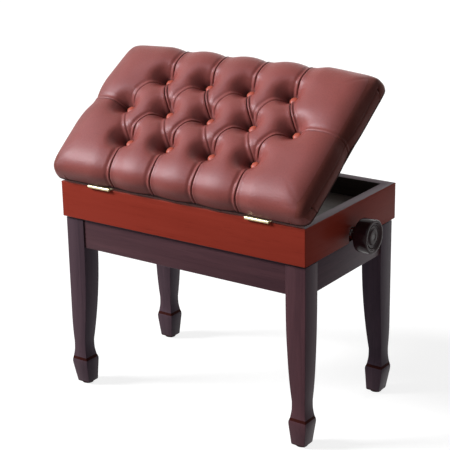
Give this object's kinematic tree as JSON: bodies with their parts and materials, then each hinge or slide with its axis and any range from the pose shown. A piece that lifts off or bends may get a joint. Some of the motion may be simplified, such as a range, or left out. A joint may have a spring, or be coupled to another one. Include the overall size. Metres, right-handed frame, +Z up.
{
  "type": "adjustable piano bench",
  "caption": "Height-adjustable piano bench: tapered legs, a mitred seat box with storage under a hinged, deep-buttoned leather lid, raised by side knobs on a screw-driven scissor lift.",
  "frame": {"origin": "on the floor, under the middle of the overall footprint with the lid open as stored", "axes": "+X along the bench to the right end as seen from the hinged side, +Y from the hinged side to the opening side, +Z up"},
  "size_m": [0.653, 0.3521, 0.6619],
  "materials": {
    "leg_wood": "satin dark mahogany lacquer",
    "box_wood": "satin red mahogany lacquer",
    "box_lining": "dark stained plywood",
    "plain_wood": "raw wood",
    "glide_plastic": "matte",
    "leather": "semi-matte leather",
    "button_leather": "semi-matte leather",
    "lining_cloth": "black cloth",
    "brass": "satin brass",
    "bronze": "turned bronze",
    "knob_plastic": "gloss dark brown",
    "black_metal": "black paint",
    "steel": "zinc-plated steel"
  },
  "bodies": {
    "base": {"leg_near_left": "leg_wood", "leg_near_right": "leg_wood", "leg_far_left": "leg_wood", "leg_far_right": "leg_wood", "foot_glides": "glide_plastic", "apron_near": "leg_wood", "apron_far": "leg_wood", "apron_left": "leg_wood", "apron_right": "leg_wood", "corner_blocks": "plain_wood", "leg_bolts": "steel", "lift_end_plate_left": "black_metal", "lift_end_plate_right": "black_metal", "plate_screws": "steel", "screw_bushes": "bronze", "lower_rail_near": "black_metal", "lower_rail_far": "black_metal", "lower_pivots": "steel"},
    "seat_box": {"box_panel_near": "box_wood", "box_panel_far": "box_wood", "box_panel_left": "box_wood", "box_panel_right": "box_wood", "box_floor": "box_lining", "upper_rail_near": "black_metal", "upper_rail_far": "black_metal", "upper_pivots": "steel", "hinge_box_leaves": "brass", "hinge_pins": "brass", "stay_track": "steel"},
    "lid": {"lid_board": "plain_wood", "lid_lining": "lining_cloth", "cushion": "leather", "tuft_buttons": "button_leather", "hinge_lid_leaves": "brass", "stay_bracket": "steel"},
    "stay": {"stay_arm": "steel"},
    "screw": {"lead_screw": "steel", "knob_left": "knob_plastic", "knob_right": "knob_plastic", "knob_screws": "steel", "thrust_collars": "steel"},
    "carriage": {"drive_nut": "bronze", "nut_bracket": "black_metal", "slide_rod": "steel", "rod_rollers": "steel"},
    "arms_a": {"arm_a_near": "black_metal", "arm_a_far": "black_metal", "arm_a_tie": "black_metal", "centre_pivots": "steel", "upper_rollers": "steel"},
    "arms_b": {"arm_b_near": "black_metal", "arm_b_far": "black_metal", "arm_b_tie": "black_metal"}
  },
  "joints": [
    {"name": "seat_lift", "type": "slide", "parent": "base", "child": "seat_box", "axis": [0, 0, 1], "range_m": [0, 0.08]},
    {"name": "lid_hinge", "type": "hinge", "parent": "seat_box", "child": "lid", "pos_m": [0, -0.1576, 0.4345], "axis": [1, 0, 0], "range_deg": [-35, 0]},
    {"name": "stay_pivot", "type": "hinge", "parent": "lid", "child": "stay", "pos_m": [-0.258, -0.04537, 0.50087], "axis": [1, 0, 0], "range_deg": [-1, 66.61]},
    {"name": "screw_turn", "type": "hinge", "parent": "base", "child": "screw", "pos_m": [0, 0.011, 0.379], "axis": [1, 0, 0], "range_deg": [-5, 1566.1]},
    {"name": "nut_slide", "type": "slide", "parent": "base", "child": "carriage", "axis": [1, 0, 0], "range_m": [-0.0005, 0.01784]},
    {"name": "arm_a_pivot", "type": "hinge", "parent": "base", "child": "arms_a", "pos_m": [0.216, 0.011, 0.325], "axis": [0, 1, 0], "range_deg": [-0.3, 11.07]},
    {"name": "arm_b_pivot", "type": "hinge", "parent": "arms_a", "child": "arms_b", "pos_m": [-0.0005, 0.011, 0.351], "axis": [0, 1, 0], "range_deg": [-22.04, 0.5]}
  ],
  "couplings": [
    {"joint": "stay_pivot", "follows": "lid_hinge", "ratio": -1.8745},
    {"joint": "screw_turn", "follows": "seat_lift", "rad_per_m": 340.57},
    {"joint": "nut_slide", "follows": "seat_lift", "ratio": 0.21681},
    {"joint": "arm_a_pivot", "follows": "seat_lift", "rad_per_m": 2.3497},
    {"joint": "arm_b_pivot", "follows": "seat_lift", "rad_per_m": -4.6995}
  ]
}
